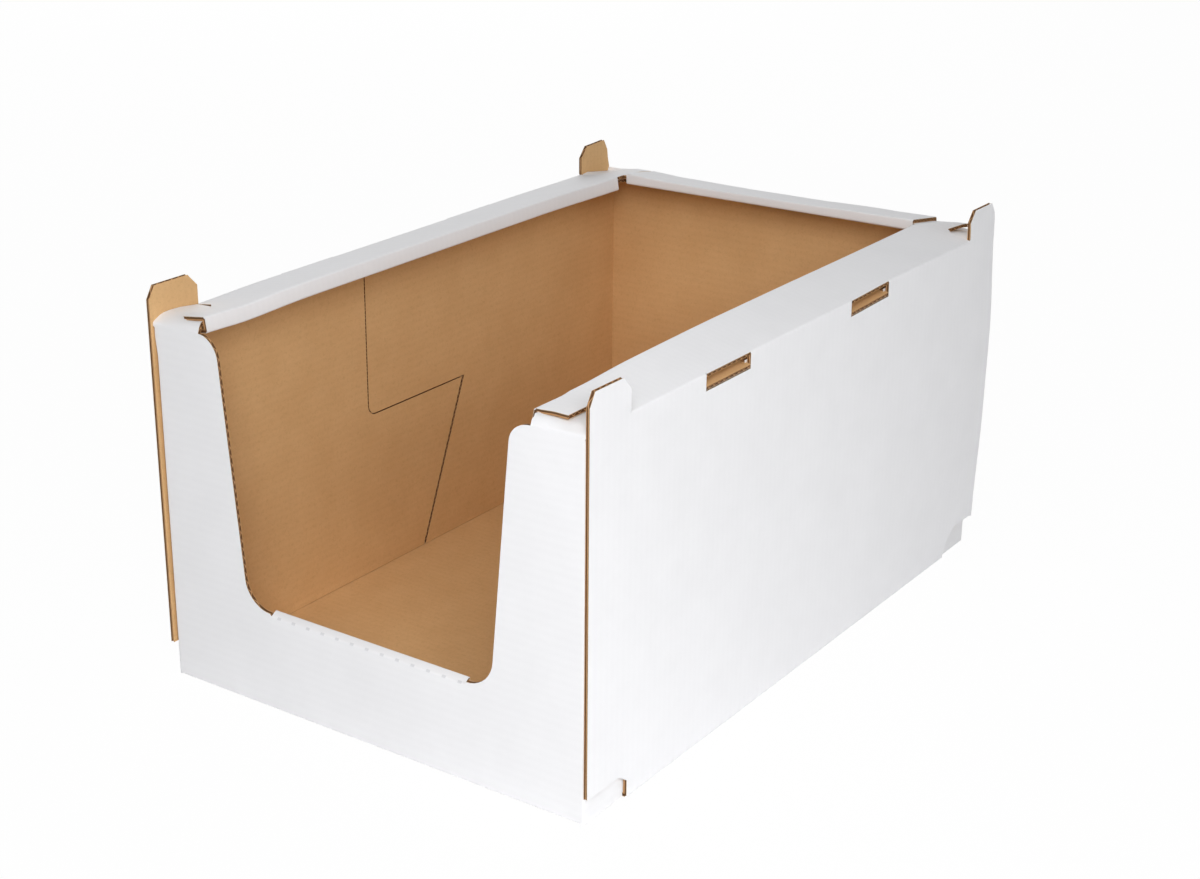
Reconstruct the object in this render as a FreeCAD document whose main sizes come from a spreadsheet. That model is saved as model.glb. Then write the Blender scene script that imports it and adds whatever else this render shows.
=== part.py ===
import FreeCAD, Part
import os
import Sketcher

# Open-front stacking tray folded from one sheet of corrugated board.
# X runs across the tray, Y from the open front to the back wall, Z up from the floor.
# The sheet makes a sleeve (floor, outer side walls and their box rims), a front frame
# (front wall, rolled sill and front inner flaps) and a rear frame (back wall, its box rim
# and the rear inner flaps). The right half of each is drawn and then mirrored.

SIZES = [
    ("tray_length", 600, "front wall to back wall, outside"),
    ("tray_width", 396, "across the outer side walls"),
    ("crease_height", 291, "floor to the outer crease of the side rims"),
    ("board", 3, "thickness of the corrugated board"),
    ("layer_gap", 0.4, "air between two layers that lie against each other"),
    ("fold_radius", 2.4, "outside radius of a fold, less than the board"),
    ("rim_width", 48, "flange of a box rim, from its outer to its inner crease"),
    ("rim_tilt", 9, "degrees that a box rim rises towards the inside"),
    ("lip_height", 12.4, "depth of a box rim, flange to return"),
    ("rim_front_setback", 8, "front wall to the front end of a side rim"),
    ("rim_rear_setback", 6, "back wall to the rear end of a side flange"),
    ("lip_rear_setback", 58, "back wall to the rear end of a side lip"),
    ("rim_end_gap", 1, "between the back rim and the side rims"),
    ("tab_length", 47, "stacking tab, along the wall"),
    ("tab_height", 26, "stacking tab above the crease"),
    ("tab_chamfer", 10, "corner cut of a stacking tab and of its notch"),
    ("notch_length", 48, "corner notch that takes the tab of the tray below"),
    ("notch_height", 24, "corner notch above the floor"),
    ("tongue_length", 59, "locking tongue of a return, along the wall"),
    ("tongue_inset", 0.5, "tongue's end behind the wall's outer face"),
    ("slot_clearance", 0.5, "around a tongue in its slot"),
    ("front_slot_place", 170, "front wall to the middle of the front slot"),
    ("rear_slot_place", 221, "back wall to the middle of the rear slot"),
    ("back_slot_place", 75, "middle of the tray to the middle of a back wall slot"),
    ("corner_flap_length", 55, "flap folded from a wall's top under a side flange"),
    ("mouth_top_width", 268, "front mouth where its sides meet the post tops"),
    ("mouth_sill_width", 230, "front mouth where its sides meet the sill"),
    ("mouth_post_round", 18, "rounded inner corner of a front post"),
    ("mouth_sill_round", 24, "rounded lower corner of the mouth"),
    ("sill_height", 80, "floor to the top of the rolled sill"),
    ("sill_length", 184, "rolled strip of the sill"),
    ("sill_panel_length", 214, "inner panel that hangs from the rolled strip"),
    ("sill_shoulder_drop", 1.5, "shoulder of the inner panel below the strip"),
    ("lock_tab_length", 40, "tab of the inner panel through the floor"),
    ("lock_tab_place", 60, "middle of the tray to the middle of a lock tab"),
    ("seam_upper_place", 230, "front wall to the upright cut of the side seam"),
    ("seam_nose_place", 359, "front wall to the nose of the side seam"),
    ("seam_foot_place", 300, "front wall to the foot of the side seam"),
    ("seam_ledge_height", 146.5, "floor to the level cut of the side seam"),
    ("seam_gap", 1, "width of the side seam"),
    ("seam_round", 9, "rounded inner corner of the side seam"),
]

NODE = "folded_tray"

doc = FreeCAD.newDocument("stacking_tray")
sheet = doc.addObject("Spreadsheet::Sheet", "sizes")
for row, (alias, number, meaning) in enumerate(SIZES, 1):
    sheet.set(f"A{row}", meaning)
    sheet.set(f"B{row}", str(number))
    sheet.setAlias(f"B{row}", alias)
doc.recompute()

# Places worked out from the sizes, as expressions.
BOARD = "sizes.board"
GAP = "sizes.layer_gap"
SIDE = "sizes.tray_width / 2"
END = "sizes.tray_length / 2"
CREASE = "sizes.crease_height"
COS = "cos(sizes.rim_tilt)"
SIN = "sin(sizes.rim_tilt)"
TAN = "tan(sizes.rim_tilt)"
INNER_FACE = f"({BOARD} + {GAP})"
FLAP_BACK = f"(2 * {BOARD} + {GAP})"
FLAP_CLEAR = f"(2 * {BOARD} + 2 * {GAP})"
POST_TOP = f"({CREASE} - {BOARD})"
FLAP_TOP = f"({CREASE} - {FLAP_CLEAR})"
ON_FLOOR = f"({BOARD} + {GAP})"

# Corners of a box rim, as distance from the wall's outer face and height.
LIP_TOP = (f"(sizes.rim_width * {COS})", f"({CREASE} + sizes.rim_width * {SIN})")
LIP_FOOT = (
    f"({LIP_TOP[0]} + sizes.lip_height * {SIN})",
    f"({LIP_TOP[1]} - sizes.lip_height * {COS})",
)
FLANGE_END = (
    f"({LIP_TOP[0]} - {BOARD} * {COS} + {BOARD} * {SIN})",
    f"({LIP_TOP[1]} - {BOARD} * {SIN} - {BOARD} * {COS})",
)


def under_flange(depth, across):
    """Height of a line that lies depth below the flange, at a distance from the wall's face."""
    return f"({CREASE} - ({depth}) / {COS} + ({across}) * {TAN})"


# Return of the rim: its top and its underside follow the flange.
RETURN_TOP_DEPTH = f"(sizes.lip_height - {BOARD})"
RETURN_END = f"({FLAP_CLEAR})"
LIP_FOOT_INSIDE = f"({LIP_FOOT[0]} - {BOARD} * {SIN} - {BOARD} * {COS})"
RIM_REACH = f"({LIP_FOOT[0]} + sizes.rim_end_gap)"


def plane(body, role):
    """Origin plane or axis of a body, by its role."""
    for item in body.Origin.OriginFeatures:
        if item.Role == role:
            return item
    raise ValueError(role)


def new_body(name):
    body = doc.addObject("PartDesign::Body", name)
    body.Label = name
    return body


def outline(body, name, role, offset, corners):
    """Closed straight-sided sketch on an origin plane; every corner is bound to the sheet."""
    sketch = body.newObject("Sketcher::SketchObject", name)
    sketch.AttachmentSupport = [(plane(body, role), "")]
    sketch.MapMode = "FlatFace"
    sketch.setExpression("AttachmentOffset.Base.z", offset)
    count = len(corners)
    spoke = FreeCAD.Vector(100, 0, 0)
    about = FreeCAD.Vector(0, 0, 1)
    ring = [FreeCAD.Rotation(about, 360 * i / count).multVec(spoke) for i in range(count)]
    for i in range(count):
        sketch.addGeometry(Part.LineSegment(ring[i], ring[(i + 1) % count]), False)
    for i in range(count):
        sketch.addConstraint(Sketcher.Constraint("Coincident", i, 2, (i + 1) % count, 1))
    for i, (across, along) in enumerate(corners):
        for kind, start, place in (("DistanceX", ring[i].x, across), ("DistanceY", ring[i].y, along)):
            number = sketch.addConstraint(Sketcher.Constraint(kind, -1, 1, i, 1, start))
            sketch.setExpression(f"Constraints[{number}]", place)
    doc.recompute()
    return sketch


def feature(body, kind, name, sketch, length, towards_normal=True):
    """Pad or pocket of a sketch, with its length bound to the sheet."""
    item = body.newObject(kind, name)
    item.Profile = sketch
    item.setExpression("Length", length)
    goes_along = kind == "PartDesign::Pad"
    item.Reversed = towards_normal != goes_along
    before = item.BaseFeature.Shape.Volume if item.BaseFeature else 0.0
    doc.recompute()
    change = item.Shape.Volume - before
    if (change > 0) != goes_along:
        raise ValueError(f"{name} changed the volume by {change}")
    return item


def pad(body, name, sketch, length, towards_normal=True):
    return feature(body, "PartDesign::Pad", name, sketch, length, towards_normal)


def pocket(body, name, sketch, length, towards_normal=True):
    return feature(body, "PartDesign::Pocket", name, sketch, length, towards_normal)


def loft(body, name, first, last):
    item = body.newObject("PartDesign::AdditiveLoft", name)
    item.Profile = first
    item.Sections = [last]
    item.Ruled = True
    doc.recompute()
    return item


def round_corners(body, name, base, sketch, corners, radius):
    """Fillet the edges that leave the given corners of a sketch square to its plane."""
    normal = sketch.Placement.Rotation.multVec(FreeCAD.Vector(0, 0, 1))
    names = []
    for corner in corners:
        point = sketch.Placement.multVec(sketch.Geometry[corner].StartPoint)
        for number, edge in enumerate(base.Shape.Edges, 1):
            first, last = edge.Vertexes[0].Point, edge.Vertexes[-1].Point
            along = abs((last - first).normalize().dot(normal)) if edge.Length > 1e-6 else 0
            aside = (first - point).cross(normal).Length
            if along > 0.9999 and aside < 0.01:
                names.append(f"Edge{number}")
    item = body.newObject("PartDesign::Fillet", name)
    item.Base = (base, names)
    item.setExpression("Radius", radius)
    doc.recompute()
    return item


def mirror(body, name, originals, role):
    """Mirror features, or the whole body when none are given, in an origin plane."""
    item = body.newObject("PartDesign::Mirrored", name)
    if originals:
        item.Originals = originals
    else:
        item.TransformMode = "Whole shape"
    item.MirrorPlane = (plane(body, role), [""])
    body.Tip = item
    doc.recompute()
    return item


def rim_section(wall, down_to):
    """Wall, flange, lip and return as one folded strip; wall is the outer face's place."""
    strip = [
        ("0", down_to),
        ("0", CREASE),
        LIP_TOP,
        LIP_FOOT,
        (RETURN_END, under_flange("sizes.lip_height", RETURN_END)),
        (RETURN_END, under_flange(RETURN_TOP_DEPTH, RETURN_END)),
        (LIP_FOOT_INSIDE, under_flange(RETURN_TOP_DEPTH, LIP_FOOT_INSIDE)),
        FLANGE_END,
        (BOARD, under_flange(BOARD, BOARD)),
        (BOARD, down_to),
    ]
    return [(f"{wall} - ({across})", height) for across, height in strip]


def tongue_section(wall):
    """Tongue that carries the return on through its slot."""
    root = f"({RETURN_END} + {BOARD})"
    tip = "sizes.tongue_inset"
    corners = [
        (root, under_flange("sizes.lip_height", root)),
        (tip, under_flange("sizes.lip_height", tip)),
        (tip, under_flange(RETURN_TOP_DEPTH, tip)),
        (root, under_flange(RETURN_TOP_DEPTH, root)),
    ]
    return [(f"{wall} - ({across})", height) for across, height in corners]


def slot_outline(middle):
    """Slot in a wall: from under the tongue up to the flange's underside."""
    half = "(sizes.tongue_length / 2 + sizes.slot_clearance)"
    foot = f"({under_flange('sizes.lip_height', '0')} - sizes.slot_clearance)"
    return [
        (f"{middle} - {half}", foot),
        (f"{middle} + {half}", foot),
        (f"{middle} + {half}", POST_TOP),
        (f"{middle} - {half}", POST_TOP),
    ]


def box_outline(low, high):
    return [low, (high[0], low[1]), high, (low[0], high[1])]


SLOT_PLACES = {
    "front": f"(sizes.front_slot_place - {END})",
    "rear": f"({END} - sizes.rear_slot_place)",
}


# Sleeve: floor, outer side walls and the box rims along them.
def make_sleeve():
    body = new_body("sleeve")
    section = outline(
        body,
        "sleeve_section",
        "XZ_Plane",
        END,
        [("0", BOARD), ("0", "0")] + rim_section(SIDE, "0")[:-1] + [(f"{SIDE} - {BOARD}", BOARD)],
    )
    strip = pad(body, "sleeve_strip", section, "sizes.tray_length", False)
    folds = round_corners(body, "sleeve_folds", strip, section, (2, 3, 4, 5), "sizes.fold_radius")

    # Front and rear ends of the rim, behind the wall that carries it.
    behind_wall = f"{SIDE} - {BOARD}"
    below = f"({CREASE} - 2 * sizes.lip_height)"
    above = f"({CREASE} + sizes.rim_width)"
    ends = {
        "rim_front_end": (f"-{END}", f"sizes.rim_front_setback - {END}"),
        "rim_rear_end": (f"{END} - sizes.rim_rear_setback", END),
    }
    for name, (start, stop) in ends.items():
        sketch = outline(
            body, name + "_outline", "YZ_Plane", behind_wall, box_outline((start, below), (stop, above))
        )
        pocket(body, name, sketch, f"{RIM_REACH}", False)
    lip_zone = [
        (f"{SIDE} - {BOARD}", below),
        (f"{SIDE} - {BOARD}", under_flange(BOARD, BOARD)),
        (f"{SIDE} - {RIM_REACH}", under_flange(BOARD, RIM_REACH)),
        (f"{SIDE} - {RIM_REACH}", below),
    ]
    lip_end = outline(body, "lip_rear_outline", "XZ_Plane", f"sizes.lip_rear_setback - {END}", lip_zone)
    pocket(body, "lip_rear_end", lip_end, "sizes.lip_rear_setback", False)

    # Slots for the tongues, and the tongues of the return in them.
    for name, middle in SLOT_PLACES.items():
        sketch = outline(body, f"{name}_slot_outline", "YZ_Plane", SIDE, slot_outline(middle))
        pocket(body, f"{name}_slot", sketch, BOARD, False)
        sketch = outline(
            body,
            f"{name}_tongue_section",
            "XZ_Plane",
            f"sizes.tongue_length / 2 - {middle}",
            tongue_section(SIDE),
        )
        pad(body, f"{name}_tongue", sketch, "sizes.tongue_length", False)

    # At each corner: the notch left in the flange, the tab that stands out of it, and the
    # notch below that takes the next tray's tab and lets the inner flap pass the floor.
    tab_end = f"sizes.tab_length - {END}"
    tab_shoulder = f"sizes.tab_length - sizes.tab_chamfer - {END}"
    inner_edge = f"{SIDE} - sizes.tab_height"
    flange_notch = outline(
        body,
        "flange_notch_outline",
        "XY_Plane",
        f"{POST_TOP} - {BOARD} / 3",
        [
            (f"{SIDE} - {BOARD}", f"-{END}"),
            (f"{SIDE} - {BOARD}", tab_end),
            (f"{inner_edge} + sizes.tab_chamfer", tab_end),
            (inner_edge, tab_shoulder),
            (inner_edge, f"-{END}"),
        ],
    )
    notch = pocket(body, "flange_notch", flange_notch, "sizes.rim_width", True)
    tab_root = f"{CREASE} - 2 * {BOARD}"
    tab_top = f"{CREASE} + sizes.tab_height"
    tab_outline = outline(
        body,
        "tab_outline",
        "YZ_Plane",
        SIDE,
        [
            (f"-{END}", tab_root),
            (tab_end, tab_root),
            (tab_end, f"{tab_top} - sizes.tab_chamfer"),
            (tab_shoulder, tab_top),
            (f"sizes.tab_chamfer - {END}", tab_top),
            (f"-{END}", f"{tab_top} - sizes.tab_chamfer"),
        ],
    )
    tab = pad(body, "stacking_tab", tab_outline, BOARD, False)
    corner_outline = outline(
        body,
        "corner_notch_outline",
        "YZ_Plane",
        SIDE,
        [
            (f"-{END}", "0"),
            (f"sizes.notch_length - {END}", "0"),
            (f"sizes.notch_length - {END}", "sizes.notch_height - sizes.tab_chamfer"),
            (f"sizes.notch_length - sizes.tab_chamfer - {END}", "sizes.notch_height"),
            (f"-{END}", "sizes.notch_height"),
        ],
    )
    corner = pocket(body, "corner_notch", corner_outline, FLAP_CLEAR, False)
    floor_end_outline = outline(
        body,
        "floor_end_outline",
        "YZ_Plane",
        "0",
        box_outline((f"-{END}", "0"), (f"sizes.fold_radius - {END}", BOARD)),
    )
    floor_end = pocket(body, "floor_end", floor_end_outline, SIDE, True)
    mirror(body, "rear_corner", [notch, tab, corner, floor_end], "XZ_Plane")

    # Slot in the floor for the lock tab of the sill.
    half = "(sizes.lock_tab_length / 2 + sizes.slot_clearance)"
    lock_slot_outline = outline(
        body,
        "lock_slot_outline",
        "XY_Plane",
        "0",
        box_outline(
            (f"sizes.lock_tab_place - {half}", f"{BOARD} - {END}"),
            (f"sizes.lock_tab_place + {half}", f"{FLAP_CLEAR} - {END}"),
        ),
    )
    pocket(body, "lock_slot", lock_slot_outline, BOARD, True)
    mirror(body, "left_half", [], "YZ_Plane")
    return body


def corner_flap(body, name, facing):
    """Flap from a wall's top that bends up and lies in the rim, under the side flange.

    Facing is 1 at the front, where the flap runs back from the wall, and -1 at the rear.
    """
    setback = "sizes.rim_front_setback" if facing > 0 else "sizes.rim_rear_setback"
    inner = f"({FLANGE_END[0]} - {GAP})"
    root = [
        (f"{SIDE} - {INNER_FACE}", f"{POST_TOP} - {BOARD}"),
        (f"{SIDE} - {INNER_FACE}", POST_TOP),
        (f"{SIDE} - {inner}", POST_TOP),
        (f"{SIDE} - {inner}", f"{POST_TOP} - {BOARD}"),
    ]
    upper = f"({BOARD} + {GAP})"
    lower = f"(2 * {BOARD} + {GAP})"
    under = [
        (f"{SIDE} - {INNER_FACE}", under_flange(lower, INNER_FACE)),
        (f"{SIDE} - {INNER_FACE}", under_flange(upper, INNER_FACE)),
        (f"{SIDE} - {inner}", under_flange(upper, inner)),
        (f"{SIDE} - {inner}", under_flange(lower, inner)),
    ]
    at_wall = f"{facing} * {END}"
    at_rim = f"{facing} * ({END} - {setback})"
    first = outline(body, f"{name}_root", "XZ_Plane", at_wall, root)
    last = outline(body, f"{name}_bend", "XZ_Plane", at_rim, under)
    loft(body, f"{name}_ramp", first, last)
    pad(body, name, last, f"sizes.corner_flap_length - {setback}", facing < 0)


def round_wall_side(body, name, base, sketch, corner):
    """Fold between a wall and its inner flap."""
    return round_corners(body, name, base, sketch, (corner,), "sizes.fold_radius")


# Seam between the front and rear inner flaps, as seen from the right, top to floor.
SEAM_TOP = f"(sizes.seam_upper_place - {END})"
SEAM_NOSE = f"(sizes.seam_nose_place - {END})"
SEAM_FOOT = f"(sizes.seam_foot_place - {END})"
SEAM_LEDGE = "sizes.seam_ledge_height"


def flap_tongue_cut(body, name, middle):
    """Open notch in an inner flap's top edge that lets a tongue through."""
    sketch = outline(body, f"{name}_outline", "YZ_Plane", f"{SIDE} - {BOARD}", slot_outline(middle))
    pocket(body, name, sketch, FLAP_CLEAR, False)


# Front frame: front wall with its mouth, rolled sill, front inner flaps and post flaps.
def make_front_frame():
    body = new_body("front_frame")
    wall_plan = outline(
        body,
        "front_corner_plan",
        "XY_Plane",
        "0",
        [
            ("0", f"-{END}"),
            (f"{SIDE} - {INNER_FACE}", f"-{END}"),
            (f"{SIDE} - {INNER_FACE}", f"sizes.notch_length - {GAP} - {END}"),
            (f"{SIDE} - {FLAP_BACK}", f"sizes.notch_length - {GAP} - {END}"),
            (f"{SIDE} - {FLAP_BACK}", f"{BOARD} - {END}"),
            ("0", f"{BOARD} - {END}"),
        ],
    )
    wall = pad(body, "front_corner", wall_plan, FLAP_TOP)
    wall = round_wall_side(body, "front_corner_fold", wall, wall_plan, 1)
    post_outline = outline(
        body,
        "front_post_outline",
        "XZ_Plane",
        END,
        box_outline(("0", f"{FLAP_TOP} - {BOARD}"), (f"{SIDE} - {INNER_FACE}", POST_TOP)),
    )
    pad(body, "front_post_top", post_outline, BOARD, False)

    # Mouth between the posts, down to the sill.
    mouth_outline = outline(
        body,
        "mouth_outline",
        "XZ_Plane",
        END,
        [
            ("0", "sizes.sill_height"),
            ("sizes.mouth_sill_width / 2", "sizes.sill_height"),
            ("sizes.mouth_top_width / 2", POST_TOP),
            ("0", POST_TOP),
        ],
    )
    mouth = pocket(body, "mouth", mouth_outline, BOARD, False)
    mouth = round_corners(body, "mouth_low", mouth, mouth_outline, (1,), "sizes.mouth_sill_round")
    mouth = round_corners(body, "mouth_high", mouth, mouth_outline, (2,), "sizes.mouth_post_round")

    # Bottom fold of the front wall.
    names = []
    for number, edge in enumerate(mouth.Shape.Edges, 1):
        box = edge.BoundBox
        if box.ZMax < 0.01 and box.YMax < mouth.Shape.BoundBox.YMin + 0.01:
            names.append(f"Edge{number}")
    bottom_fold = body.newObject("PartDesign::Fillet", "front_bottom_fold")
    bottom_fold.Base = (mouth, names)
    bottom_fold.setExpression("Radius", "sizes.fold_radius")
    doc.recompute()

    # Sill: the wall's top strip rolled over and hung down inside to the floor.
    inner = f"{BOARD} + {GAP} - {END}"
    outer = f"{FLAP_BACK} - {END}"
    strip_bottom = f"sizes.sill_height - {BOARD}"
    sill_section = outline(
        body,
        "sill_section",
        "YZ_Plane",
        "0",
        [
            (f"-{END}", strip_bottom),
            (f"-{END}", "sizes.sill_height"),
            (outer, "sizes.sill_height"),
            (outer, ON_FLOOR),
            (inner, ON_FLOOR),
            (inner, strip_bottom),
        ],
    )
    sill = pad(body, "sill", sill_section, "sizes.sill_length / 2")
    round_corners(body, "sill_fold", sill, sill_section, (2,), "sizes.fold_radius")
    panel_outline = outline(
        body,
        "sill_panel_outline",
        "YZ_Plane",
        "0",
        box_outline((inner, ON_FLOOR), (outer, "sizes.sill_height - sizes.sill_shoulder_drop")),
    )
    pad(body, "sill_panel", panel_outline, "sizes.sill_panel_length / 2")
    lock_outline = outline(
        body,
        "lock_tab_outline",
        "XZ_Plane",
        f"{END} - {INNER_FACE}",
        box_outline(
            ("sizes.lock_tab_place - sizes.lock_tab_length / 2", GAP),
            ("sizes.lock_tab_place + sizes.lock_tab_length / 2", f"{ON_FLOOR} + {BOARD}"),
        ),
    )
    pad(body, "lock_tab", lock_outline, BOARD, False)

    # Inner flap along the side wall, with the front half of the seam.
    flap_outline = outline(
        body,
        "front_flap_outline",
        "YZ_Plane",
        f"{SIDE} - {INNER_FACE}",
        [
            (f"{BOARD} - {END}", ON_FLOOR),
            (SEAM_FOOT, ON_FLOOR),
            (SEAM_NOSE, SEAM_LEDGE),
            (SEAM_TOP, SEAM_LEDGE),
            (SEAM_TOP, FLAP_TOP),
            (f"{BOARD} - {END}", FLAP_TOP),
        ],
    )
    flap = pad(body, "front_flap", flap_outline, BOARD, False)
    flap = round_corners(
        body, "front_flap_seam", flap, flap_outline, (3,), "sizes.seam_round + sizes.seam_gap"
    )
    flap_tongue_cut(body, "front_flap_notch", SLOT_PLACES["front"])
    corner_flap(body, "post_flap", 1)
    mirror(body, "left_half", [], "YZ_Plane")
    return body


# Rear frame: back wall with its box rim, rear inner flaps and ears.
def make_rear_frame():
    body = new_body("rear_frame")
    corner_plan = outline(
        body,
        "back_corner_plan",
        "XY_Plane",
        "0",
        [
            ("0", END),
            (f"{SIDE} - {INNER_FACE}", END),
            (f"{SIDE} - {INNER_FACE}", f"{END} - sizes.notch_length + {GAP}"),
            (f"{SIDE} - {FLAP_BACK}", f"{END} - sizes.notch_length + {GAP}"),
            (f"{SIDE} - {FLAP_BACK}", f"{END} - {BOARD}"),
            ("0", f"{END} - {BOARD}"),
        ],
    )
    wall = pad(body, "back_corner", corner_plan, FLAP_TOP)
    wall = round_wall_side(body, "back_corner_fold", wall, corner_plan, 1)
    post_outline = outline(
        body,
        "back_post_outline",
        "XZ_Plane",
        f"{BOARD} - {END}",
        box_outline(("0", f"{FLAP_TOP} - {BOARD}"), (f"{SIDE} - {INNER_FACE}", POST_TOP)),
    )
    wall = pad(body, "back_post_top", post_outline, BOARD, False)

    # Bottom fold of the back wall.
    names = []
    for number, edge in enumerate(wall.Shape.Edges, 1):
        box = edge.BoundBox
        if box.ZMax < 0.01 and box.YMin > wall.Shape.BoundBox.YMax - 0.01:
            names.append(f"Edge{number}")
    bottom_fold = body.newObject("PartDesign::Fillet", "back_bottom_fold")
    bottom_fold.Base = (wall, names)
    bottom_fold.setExpression("Radius", "sizes.fold_radius")
    doc.recompute()

    # Box rim between the side rims.
    section = outline(
        body,
        "back_rim_section",
        "YZ_Plane",
        "0",
        rim_section(END, f"{FLAP_TOP} - 2 * sizes.lip_height"),
    )
    rim = pad(body, "back_rim", section, f"{SIDE} - {RIM_REACH}")
    round_corners(body, "back_rim_folds", rim, section, (1, 2, 3), "sizes.fold_radius")
    slot_sketch = outline(
        body, "back_slot_outline", "XZ_Plane", f"-{END}", slot_outline("sizes.back_slot_place")
    )
    pocket(body, "back_slot", slot_sketch, BOARD, True)
    tongue_sketch = outline(
        body,
        "back_tongue_section",
        "YZ_Plane",
        "sizes.back_slot_place - sizes.tongue_length / 2",
        tongue_section(END),
    )
    pad(body, "back_tongue", tongue_sketch, "sizes.tongue_length")

    # Inner flap along the side wall, with the rear half of the seam.
    flap_outline = outline(
        body,
        "rear_flap_outline",
        "YZ_Plane",
        f"{SIDE} - {INNER_FACE}",
        [
            (f"{END} - {BOARD}", FLAP_TOP),
            (f"{SEAM_TOP} + sizes.seam_gap", FLAP_TOP),
            (f"{SEAM_TOP} + sizes.seam_gap", f"{SEAM_LEDGE} + sizes.seam_gap"),
            (f"{SEAM_NOSE} + 1.5 * sizes.seam_gap", f"{SEAM_LEDGE} + sizes.seam_gap"),
            (f"{SEAM_FOOT} + sizes.seam_gap", ON_FLOOR),
            (f"{END} - {BOARD}", ON_FLOOR),
        ],
    )
    flap = pad(body, "rear_flap", flap_outline, BOARD, False)
    flap = round_corners(body, "rear_flap_seam", flap, flap_outline, (2,), "sizes.seam_round")
    flap_tongue_cut(body, "rear_flap_notch", SLOT_PLACES["rear"])
    corner_flap(body, "ear", -1)
    mirror(body, "left_half", [], "YZ_Plane")
    return body


frames = [make_sleeve(), make_front_frame(), make_rear_frame()]
tray = doc.addObject("Part::MultiFuse", "tray")
tray.Label = NODE
tray.Shapes = frames
tray.Refine = True
doc.recompute()

for item in doc.Objects:
    if "Invalid" in item.State or "Error" in item.State:
        raise ValueError(f"{item.Name} failed: {item.State}")
if tray.Shape.isNull() or not tray.Shape.isValid():
    raise ValueError("the tray's shape is not valid")
if len(tray.Shape.Solids) != 1:
    raise ValueError(f"the tray has {len(tray.Shape.Solids)} solids, not one")

os.makedirs("parts", exist_ok=True)
tray.Shape.exportStep(os.path.join("parts", NODE + ".step"))
box = tray.Shape.BoundBox
print(NODE, "solids", len(tray.Shape.Solids), "faces", len(tray.Shape.Faces))
print("volume cm3", round(tray.Shape.Volume / 1000, 1))
print("box", [round(v, 2) for v in (box.XMin, box.YMin, box.ZMin, box.XMax, box.YMax, box.ZMax)])
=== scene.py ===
import bmesh
import bpy
import math
from mathutils import Matrix, Vector


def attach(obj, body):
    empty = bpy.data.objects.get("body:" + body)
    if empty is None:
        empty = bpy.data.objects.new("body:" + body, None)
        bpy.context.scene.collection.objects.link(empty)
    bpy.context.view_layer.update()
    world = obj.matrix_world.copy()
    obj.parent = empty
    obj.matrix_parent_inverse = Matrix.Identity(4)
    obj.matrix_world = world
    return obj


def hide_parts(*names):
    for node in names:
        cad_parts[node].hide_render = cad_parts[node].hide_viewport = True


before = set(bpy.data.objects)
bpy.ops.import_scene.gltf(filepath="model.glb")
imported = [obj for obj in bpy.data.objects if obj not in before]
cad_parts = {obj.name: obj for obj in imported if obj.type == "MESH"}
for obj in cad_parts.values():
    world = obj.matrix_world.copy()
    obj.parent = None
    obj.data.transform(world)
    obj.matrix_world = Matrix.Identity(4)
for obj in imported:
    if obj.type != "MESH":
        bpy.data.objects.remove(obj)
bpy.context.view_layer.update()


# Camera: on the tray's right front and a little above it, as the picture was taken. Its
# angles, lens and place let the tray's straight edges lie as they do there.
AZIMUTH = math.radians(34.53)
ELEVATION = math.radians(21.092)
ROLL = math.radians(0.526)
SENSOR_WIDTH = 36
FOCAL_LENGTH = 61.70
CAMERA_PLACE = (0.8972, -1.3053, 0.7585)

towards = Vector((
    math.sin(AZIMUTH) * math.cos(ELEVATION),
    -math.cos(AZIMUTH) * math.cos(ELEVATION),
    math.sin(ELEVATION),
))
level = Vector((math.cos(AZIMUTH), math.sin(AZIMUTH), 0))
upright = towards.cross(level)
right = level * math.cos(ROLL) + upright * math.sin(ROLL)
over = upright * math.cos(ROLL) - level * math.sin(ROLL)
lens = bpy.data.cameras.new("camera")
lens.sensor_width = SENSOR_WIDTH
lens.lens = FOCAL_LENGTH
camera = bpy.data.objects.new("camera", lens)
bpy.context.collection.objects.link(camera)
stand = Matrix((right, over, towards)).transposed().to_4x4()
stand.translation = CAMERA_PLACE
camera.matrix_world = stand
bpy.context.scene.camera = camera


# Sleeve: the floor, the outer side walls and the box rims along them, cut with the tabs,
# notches and slots. Only the white face of the right half is modelled, in mm; the board's
# thickness and the left half come when the whole sheet is joined.
MM = 0.001
SIDE = 198
END = 300
CREASE = 291
BOARD = 3
GAP = 0.4
FOOT = BOARD + GAP
TILT = math.radians(9)
RIM = 48
LIP = 12.4
LIP_END = 242
RETURN_END = 2 * BOARD + 2 * GAP
RIM_HALF = 147.65
TAB_END = 253
TAB_TOP = 317
TAB_ROOT = 8
CHAMFER = 10
NOTCH_END = 252
NOTCH_TOP = 24
NOTCH_FACE = 191.2
SLOTS = (-130, 79)
SLOT_HALF = 30
SLOT_FOOT = 278
TONGUE_HALF = 29.5
TONGUE_SHORT = 0.5
STRIP_CUT = 16
STRIP_EDGE = 26
FLAP_EDGE = 150.43
COLUMNS = [18, 40, 45, 45.5, 60, 75, 80, 92, 104.5, 105, 107, 120, 135.5]
COLUMNS += [RIM_HALF, FLAP_EDGE, 165, 178, NOTCH_FACE]
ROWS = [FOOT, 14, NOTCH_TOP, 44, 64, 80, 100, 120, 146.5, 166, 186, 206, 226, 244, 262, SLOT_FOOT]


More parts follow.
